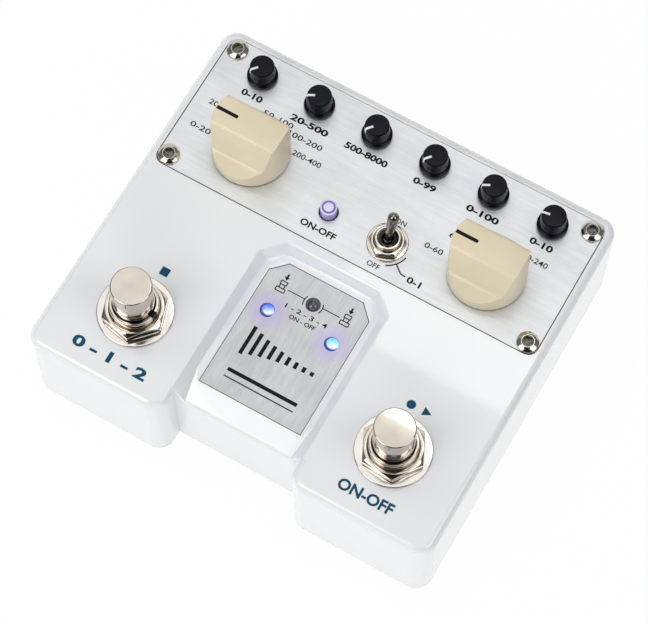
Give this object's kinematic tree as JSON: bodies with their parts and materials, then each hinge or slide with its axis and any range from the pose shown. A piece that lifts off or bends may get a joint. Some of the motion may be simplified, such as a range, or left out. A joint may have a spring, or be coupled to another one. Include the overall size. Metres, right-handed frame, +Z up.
{
  "type": "digital delay pedal",
  "caption": "Delay effects pedal: cast U-shaped case with footswitches on its legs, a sunk badge between them, a brushed knob panel and rear jack sockets.",
  "frame": {"origin": "middle of the overall box at floor level, under the feet", "axes": "+X to the right of the player, +Y to the back where the sockets are, +Z up"},
  "size_m": [0.125, 0.1144, 0.0553],
  "materials": {
    "white_paint": "gloss white powder coat",
    "steel_plate": "plain sheet",
    "screw_steel": "bright zinc",
    "foot_rubber": "matte",
    "brushed_panel": "brushed along X",
    "brushed_badge": "brushed along Y",
    "lamp_blue": "lit lens",
    "lamp_dark": "unlit smoked lens",
    "board_green": "circuit board",
    "cable_grey": "flat cable",
    "nickel": "bright nickel plate",
    "spring_steel": "wire",
    "black_plastic": "moulded",
    "frosted_cap": "translucent cap",
    "black_gloss": "gloss knob",
    "ivory": "satin ivory",
    "switch_grey": "moulded",
    "shaft_steel": "turned"
  },
  "bodies": {
    "case": {"enclosure_shell": "white_paint", "bottom_plate": "steel_plate", "bottom_screws": "screw_steel", "panel_screws": "screw_steel", "board_screws": "screw_steel", "rubber_feet": "foot_rubber", "control_panel": "brushed_panel", "badge_plate": "brushed_badge", "status_led_left": "lamp_blue", "status_led_right": "lamp_blue", "preset_led": "lamp_dark", "control_board": "board_green", "jack_board": "board_green", "ribbon_cable": "cable_grey", "footswitch_cables": "cable_grey", "footswitch_left_housing": "nickel", "footswitch_left_washer": "nickel", "footswitch_left_nut": "nickel", "footswitch_right_housing": "nickel", "footswitch_right_washer": "nickel", "footswitch_right_nut": "nickel", "toggle_housing": "nickel", "toggle_washer": "nickel", "toggle_nut": "nickel", "jack_washers": "nickel", "jack_nuts": "nickel", "footswitch_left_spring": "spring_steel", "footswitch_right_spring": "spring_steel", "stereo_button_body": "black_plastic", "jack_sockets": "black_plastic", "power_socket": "black_plastic", "dry_pot": "switch_grey", "low_cut_pot": "switch_grey", "high_cut_pot": "switch_grey", "time_pot": "switch_grey", "feedback_pot": "switch_grey", "wet_pot": "switch_grey", "type_selector_body": "switch_grey", "mode_selector_body": "switch_grey"},
    "dry_control": {"dry_knob": "black_gloss", "dry_shaft": "shaft_steel"},
    "low_cut_control": {"low_cut_knob": "black_gloss", "low_cut_shaft": "shaft_steel"},
    "high_cut_control": {"high_cut_knob": "black_gloss", "high_cut_shaft": "shaft_steel"},
    "time_control": {"time_knob": "black_gloss", "time_shaft": "shaft_steel"},
    "feedback_control": {"feedback_knob": "black_gloss", "feedback_shaft": "shaft_steel"},
    "wet_control": {"wet_knob": "black_gloss", "wet_shaft": "shaft_steel"},
    "type_selector": {"type_selector_knob": "ivory", "type_selector_shaft": "shaft_steel"},
    "mode_selector": {"mode_selector_knob": "ivory", "mode_selector_shaft": "shaft_steel"},
    "left_footswitch": {"footswitch_left_button": "nickel"},
    "right_footswitch": {"footswitch_right_button": "nickel"},
    "stereo_button": {"stereo_button_cap": "frosted_cap"},
    "toggle": {"toggle_lever": "nickel"}
  },
  "joints": [
    {"name": "dry_turn", "type": "hinge", "parent": "case", "child": "dry_control", "pos_m": [-0.04615, 0.0434, 0.037], "axis": [0, 0, 1], "range_deg": [-289, 11]},
    {"name": "low_cut_turn", "type": "hinge", "parent": "case", "child": "low_cut_control", "pos_m": [-0.02769, 0.0434, 0.037], "axis": [0, 0, 1], "range_deg": [-268, 32]},
    {"name": "high_cut_turn", "type": "hinge", "parent": "case", "child": "high_cut_control", "pos_m": [-0.00923, 0.0434, 0.037], "axis": [0, 0, 1], "range_deg": [-290, 10]},
    {"name": "time_turn", "type": "hinge", "parent": "case", "child": "time_control", "pos_m": [0.00923, 0.0434, 0.037], "axis": [0, 0, 1], "range_deg": [-290, 10]},
    {"name": "feedback_turn", "type": "hinge", "parent": "case", "child": "feedback_control", "pos_m": [0.02769, 0.0434, 0.037], "axis": [0, 0, 1], "range_deg": [-268, 32]},
    {"name": "wet_turn", "type": "hinge", "parent": "case", "child": "wet_control", "pos_m": [0.04615, 0.0434, 0.037], "axis": [0, 0, 1], "range_deg": [-249, 51]},
    {"name": "type_selector_turn", "type": "hinge", "parent": "case", "child": "type_selector", "pos_m": [-0.03725, 0.022, 0.037], "axis": [0, 0, 1], "range_deg": [-180, 0]},
    {"name": "mode_selector_turn", "type": "hinge", "parent": "case", "child": "mode_selector", "pos_m": [0.03725, 0.022, 0.037], "axis": [0, 0, 1], "range_deg": [-180, 0]},
    {"name": "left_footswitch_press", "type": "slide", "parent": "case", "child": "left_footswitch", "axis": [0, 0, -1], "range_m": [0, 0.0026], "stiffness_N_per_m": 2500, "springref_m": -0.002, "deforming": ["footswitch_left_spring"]},
    {"name": "right_footswitch_press", "type": "slide", "parent": "case", "child": "right_footswitch", "axis": [0, 0, -1], "range_m": [0, 0.0026], "stiffness_N_per_m": 2500, "springref_m": -0.002, "deforming": ["footswitch_right_spring"]},
    {"name": "stereo_button_press", "type": "slide", "parent": "case", "child": "stereo_button", "axis": [0, 0, -1], "range_m": [0, 0.001], "stiffness_N_per_m": 800, "springref_m": -0.0005},
    {"name": "toggle_flip", "type": "hinge", "parent": "case", "child": "toggle", "pos_m": [0.0093, 0.0164, 0.039], "axis": [1, 0, 0], "range_deg": [0, 34]}
  ]
}
